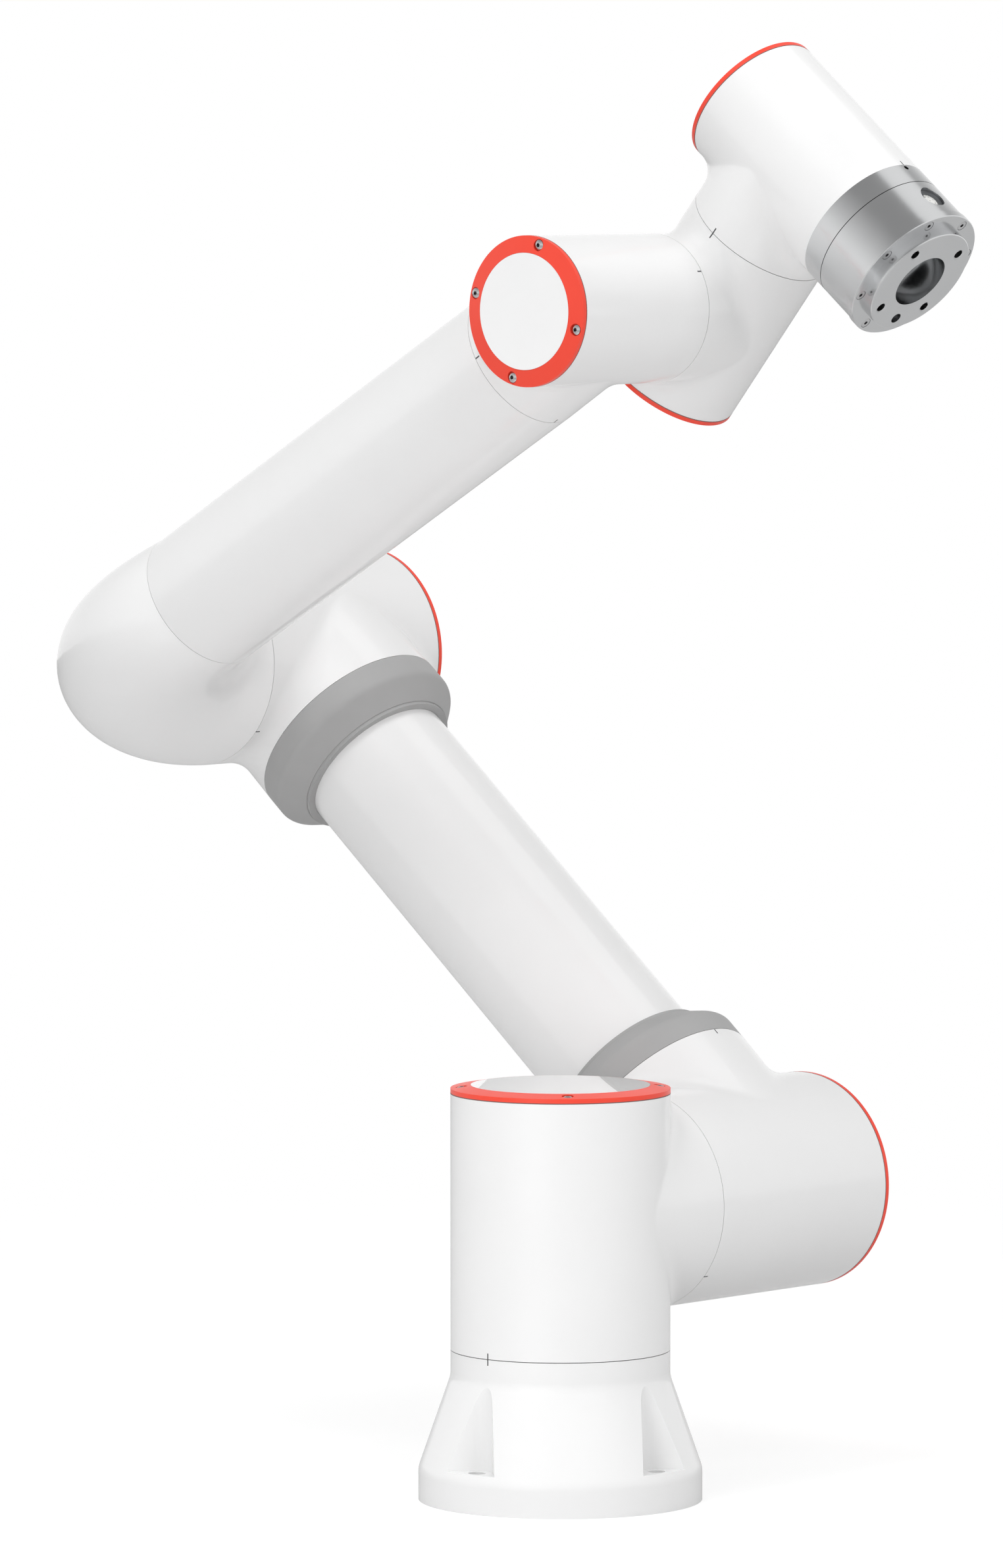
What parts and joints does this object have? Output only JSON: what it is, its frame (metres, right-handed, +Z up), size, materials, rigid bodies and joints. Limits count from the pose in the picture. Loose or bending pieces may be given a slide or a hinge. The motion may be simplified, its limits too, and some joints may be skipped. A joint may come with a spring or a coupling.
{
  "type": "collaborative robot arm",
  "caption": "Jointed arm on a flared round foot, with tubular links, T-shaped joint housings under red-ringed caps and a bright tool flange.",
  "frame": {"origin": "centre of the foot's underside, on the first joint's axis", "axes": "+Z up along the first joint's axis, +X along the shoulder joint's axis towards the upper arm"},
  "size_m": [0.2777, 0.5566, 0.7603],
  "materials": {
    "white_paint": "gloss",
    "grey_cuff": "matte",
    "red_ring": "satin",
    "white_disc": "gloss",
    "bright_aluminium": "satin",
    "cap_screw_steel": "polished",
    "flange_steel": "satin",
    "gear_steel": "satin",
    "motor_unit": "satin",
    "circuit_board": "satin",
    "connector_black": "matte"
  },
  "bodies": {
    "base": {"base_housing": "white_paint", "base_cable_inlet": "connector_black", "joint_1_output_flange": "flange_steel"},
    "shoulder": {"shoulder_housing": "white_paint", "joint_1_gear_ring": "gear_steel", "joint_1_motor": "motor_unit", "joint_1_driver_board": "circuit_board", "joint_1_cap_ring": "red_ring", "joint_1_cap_disc": "white_disc", "joint_1_cap_screws": "cap_screw_steel", "joint_2_output_flange": "flange_steel"},
    "upper_arm": {"upper_arm_lower_housing": "white_paint", "upper_arm_elbow_housing": "white_paint", "upper_arm_lower_cuff": "grey_cuff", "upper_arm_upper_cuff": "grey_cuff", "upper_arm_tube": "white_paint", "joint_2_gear_ring": "gear_steel", "joint_2_motor": "motor_unit", "joint_2_driver_board": "circuit_board", "joint_2_cap_ring": "red_ring", "joint_2_cap_disc": "white_disc", "joint_2_cap_screws": "cap_screw_steel", "joint_3_gear_ring": "gear_steel", "joint_3_motor": "motor_unit", "joint_3_driver_board": "circuit_board", "joint_3_cap_ring": "red_ring", "joint_3_cap_disc": "white_disc", "joint_3_cap_screws": "cap_screw_steel"},
    "forearm": {"forearm_elbow": "white_paint", "forearm_tube": "white_paint", "forearm_end_housing": "white_paint", "joint_3_output_flange": "flange_steel", "joint_4_gear_ring": "gear_steel", "joint_4_motor": "motor_unit", "joint_4_driver_board": "circuit_board", "joint_4_cap_ring": "red_ring", "joint_4_cap_disc": "white_disc", "joint_4_cap_screws": "cap_screw_steel"},
    "wrist_1": {"wrist_1_housing": "white_paint", "joint_4_output_flange": "flange_steel", "joint_5_gear_ring": "gear_steel", "joint_5_motor": "motor_unit", "joint_5_driver_board": "circuit_board", "joint_5_cap_ring": "red_ring", "joint_5_cap_disc": "white_disc", "joint_5_cap_screws": "cap_screw_steel"},
    "wrist_2": {"wrist_2_housing": "white_paint", "tool_collar": "bright_aluminium", "joint_5_output_flange": "flange_steel", "joint_6_gear_ring": "gear_steel", "joint_6_motor": "motor_unit", "joint_6_driver_board": "circuit_board", "joint_6_cap_ring": "red_ring", "joint_6_cap_disc": "white_disc", "joint_6_cap_screws": "cap_screw_steel"},
    "tool_end": {"tool_body": "bright_aluminium", "tool_socket": "connector_black", "tool_flange": "bright_aluminium", "tool_flange_screws": "cap_screw_steel", "joint_6_output_flange": "flange_steel"}
  },
  "joints": [
    {"name": "joint_1_base", "type": "hinge", "parent": "base", "child": "shoulder", "pos_m": [0, 0, 0.0788], "axis": [0, 0, 1], "range_deg": [-360, 360]},
    {"name": "joint_2_shoulder", "type": "hinge", "parent": "shoulder", "child": "upper_arm", "pos_m": [0, 0, 0.1515], "axis": [-1, 0, 0], "range_deg": [-360, 360]},
    {"name": "joint_3_elbow", "type": "hinge", "parent": "upper_arm", "child": "forearm", "pos_m": [0, 0.31937, 0.42427], "axis": [-1, 0, 0], "range_deg": [-40.8, 259.2]},
    {"name": "joint_4_wrist_1", "type": "hinge", "parent": "forearm", "child": "wrist_1", "pos_m": [0, -0.01865, 0.62179], "axis": [-1, 0, 0], "range_deg": [-360, 360]},
    {"name": "joint_5_wrist_2", "type": "hinge", "parent": "wrist_1", "child": "wrist_2", "pos_m": [0.1005, -0.01865, 0.62179], "axis": [0, -0.6381, 0.77], "range_deg": [-360, 360]},
    {"name": "joint_6_wrist_3", "type": "hinge", "parent": "wrist_2", "child": "tool_end", "pos_m": [0.1005, -0.08278, 0.69917], "axis": [0, -0.77, -0.6381], "range_deg": [-360, 360]}
  ]
}
